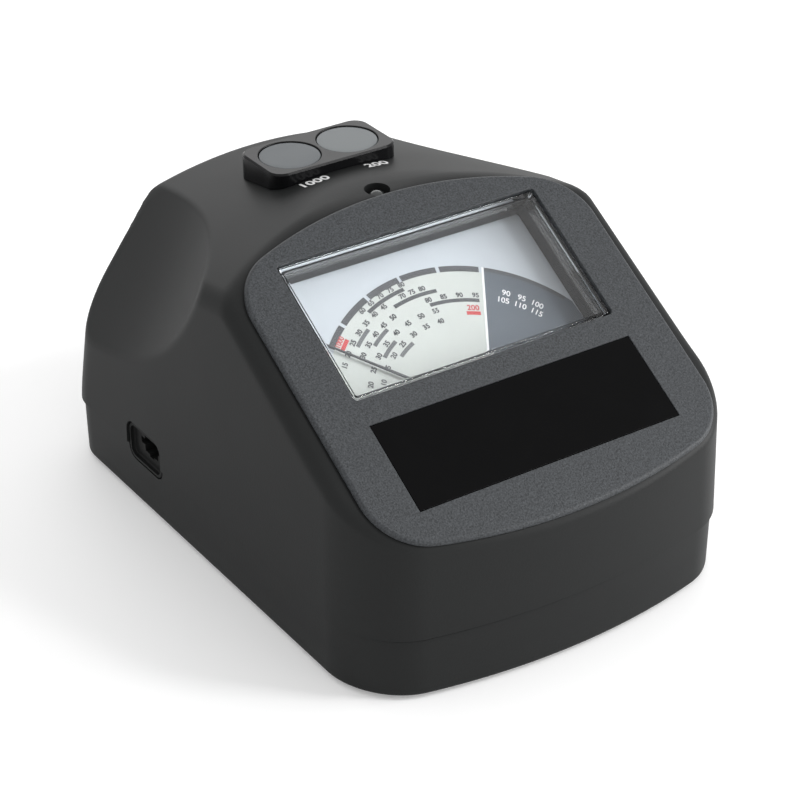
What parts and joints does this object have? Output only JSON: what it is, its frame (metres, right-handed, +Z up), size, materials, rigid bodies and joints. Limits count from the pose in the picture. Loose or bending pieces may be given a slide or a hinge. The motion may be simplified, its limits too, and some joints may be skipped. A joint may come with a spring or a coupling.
{
  "type": "gem thermal tester",
  "caption": "Benchtop gem tester with a sloped needle-meter face, gloss black trim plate, two test discs on a raised block and a keyed probe socket.",
  "frame": {"origin": "on the table under the middle of the bounding box", "axes": "+Z up, +Y towards the back, the sloped face looks towards -Y and up, +X to the right seen from the front"},
  "size_m": [0.1088, 0.1545, 0.0877],
  "materials": {
    "case": "satin black moulded plastic",
    "panel": "fine-grained dark grey plastic",
    "gloss_trim": "gloss black plastic",
    "clear": "clear moulded window",
    "inner_plastic": "black plastic",
    "socket": "black plastic",
    "card": "white printed dial plate",
    "needle_paint": "dark grey paint",
    "test_glass": "polished grey test disc",
    "test_metal": "polished grey test disc",
    "lamp": "clear grey lamp body",
    "magnet": "ground magnet",
    "iron": "plated soft iron",
    "copper": "bare copper",
    "brass": "turned brass",
    "board": "green solder mask",
    "rubber": "moulded rubber",
    "cell": "printed metal jacket",
    "steel": "zinc plated steel"
  },
  "bodies": {
    "case": {"base_cover": "case", "battery_1": "cell", "battery_2": "cell", "battery_3": "cell", "battery_contact_1": "steel", "battery_contact_2": "steel", "battery_contact_3": "steel", "battery_spring_1": "steel", "battery_spring_2": "steel", "battery_spring_3": "steel", "board_screw_left": "steel", "board_screw_right": "steel", "calibration_disc": "test_metal", "case_screw_back_left": "steel", "case_screw_back_right": "steel", "case_screw_front_left": "steel", "case_screw_front_right": "steel", "circuit_board": "board", "controller_chip": "inner_plastic", "core_magnet": "magnet", "core_support_high": "brass", "core_support_low": "brass", "dial_frame": "inner_plastic", "dial_plate": "card", "dial_screw_left": "steel", "dial_screw_right": "steel", "disc_block": "gloss_trim", "foot_back_left": "rubber", "foot_back_right": "rubber", "foot_front_left": "rubber", "foot_front_right": "rubber", "front_panel": "panel", "glass_disc": "test_glass", "hairspring_lower": "copper", "hairspring_upper": "copper", "indicator_lamp": "lamp", "jewel_screw_lower": "brass", "jewel_screw_upper": "brass", "lamp_holder": "inner_plastic", "lower_bridge": "brass", "meter_case": "inner_plastic", "meter_lens": "clear", "meter_screw_high_left": "steel", "meter_screw_high_right": "steel", "meter_screw_low_left": "steel", "meter_screw_low_right": "steel", "name_plate": "gloss_trim", "probe_socket": "socket", "switch_body": "inner_plastic", "top_housing": "case", "upper_bridge": "brass", "yoke_ring": "iron"},
    "movement": {"needle": "needle_paint", "moving_coil": "copper", "staff_upper": "steel", "staff_lower": "steel"},
    "door": {"battery_door": "case"},
    "slider": {"switch_slider": "socket"}
  },
  "joints": [
    {"name": "needle_swing", "type": "hinge", "parent": "case", "child": "movement", "pos_m": [0, -0.04477, 0.04816], "axis": [0, -0.515, 0.8572], "range_deg": [-90, 0]},
    {"name": "door_slide", "type": "slide", "parent": "case", "child": "door", "axis": [0, 1, 0], "range_m": [0, 0.066]},
    {"name": "switch_slide", "type": "slide", "parent": "case", "child": "slider", "axis": [1, 0, 0], "range_m": [0, 0.005]}
  ]
}
